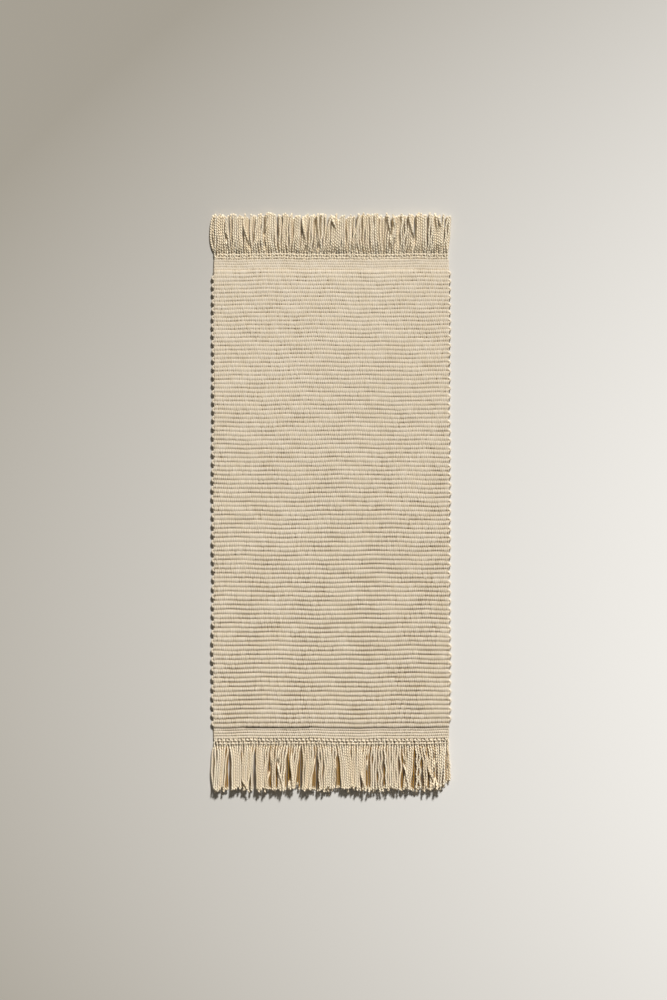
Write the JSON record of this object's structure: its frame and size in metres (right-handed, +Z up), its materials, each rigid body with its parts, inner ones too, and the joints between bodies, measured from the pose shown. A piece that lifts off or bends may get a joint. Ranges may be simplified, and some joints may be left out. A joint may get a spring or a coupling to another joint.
{
  "type": "bath mat",
  "caption": "Flat woven cotton bath mat with thick cross ribs, fine headings, twined borders and a loose cord fringe at both ends; folds in half.",
  "frame": {"origin": "middle of the mat's underside, on the floor, halfway between the two fringes' tips", "axes": "+X along the width, +Y along the length towards the rear fringe, which is the shorter one, +Z up from the floor"},
  "size_m": [0.5, 1.2, 0.01],
  "materials": {
    "woven_cotton": "matte",
    "fringe_cotton": "matte"
  },
  "bodies": {
    "front_half": {"front_field": "woven_cotton", "front_left_weft_turns": "woven_cotton", "front_right_weft_turns": "woven_cotton", "front_heading": "woven_cotton", "front_inner_twined_row": "fringe_cotton", "front_outer_twined_row": "fringe_cotton"},
    "rear_half": {"rear_field": "woven_cotton", "rear_left_weft_turns": "woven_cotton", "rear_right_weft_turns": "woven_cotton", "rear_heading": "woven_cotton", "rear_inner_twined_row": "fringe_cotton", "rear_outer_twined_row": "fringe_cotton"},
    "front_fringe": {"front_fringe_cords_01": "fringe_cotton", "front_fringe_cords_02": "fringe_cotton", "front_fringe_cords_03": "fringe_cotton", "front_fringe_cords_04": "fringe_cotton", "front_fringe_cords_05": "fringe_cotton", "front_fringe_cords_06": "fringe_cotton", "front_fringe_cords_07": "fringe_cotton", "front_fringe_cords_08": "fringe_cotton", "front_fringe_cords_09": "fringe_cotton", "front_fringe_cords_10": "fringe_cotton", "front_fringe_cords_11": "fringe_cotton", "front_fringe_cords_12": "fringe_cotton", "front_fringe_cords_13": "fringe_cotton", "front_fringe_cords_14": "fringe_cotton", "front_fringe_cords_15": "fringe_cotton", "front_fringe_cords_16": "fringe_cotton"},
    "rear_fringe": {"rear_fringe_cords_01": "fringe_cotton", "rear_fringe_cords_02": "fringe_cotton", "rear_fringe_cords_03": "fringe_cotton", "rear_fringe_cords_04": "fringe_cotton", "rear_fringe_cords_05": "fringe_cotton", "rear_fringe_cords_06": "fringe_cotton", "rear_fringe_cords_07": "fringe_cotton", "rear_fringe_cords_08": "fringe_cotton", "rear_fringe_cords_09": "fringe_cotton", "rear_fringe_cords_10": "fringe_cotton", "rear_fringe_cords_11": "fringe_cotton", "rear_fringe_cords_12": "fringe_cotton", "rear_fringe_cords_13": "fringe_cotton", "rear_fringe_cords_14": "fringe_cotton", "rear_fringe_cords_15": "fringe_cotton", "rear_fringe_cords_16": "fringe_cotton"}
  },
  "joints": [
    {"name": "centre_fold", "type": "hinge", "parent": "front_half", "child": "rear_half", "pos_m": [0, 0.00256, 0.00815], "axis": [1, 0, 0], "range_deg": [0, 175]},
    {"name": "front_fringe_flip", "type": "hinge", "parent": "front_half", "child": "front_fringe", "pos_m": [0, -0.504, 0.00915], "axis": [-1, 0, 0], "range_deg": [0, 180]},
    {"name": "rear_fringe_flip", "type": "hinge", "parent": "rear_half", "child": "rear_fringe", "pos_m": [0, 0.522, 0.00915], "axis": [1, 0, 0], "range_deg": [0, 180]}
  ]
}
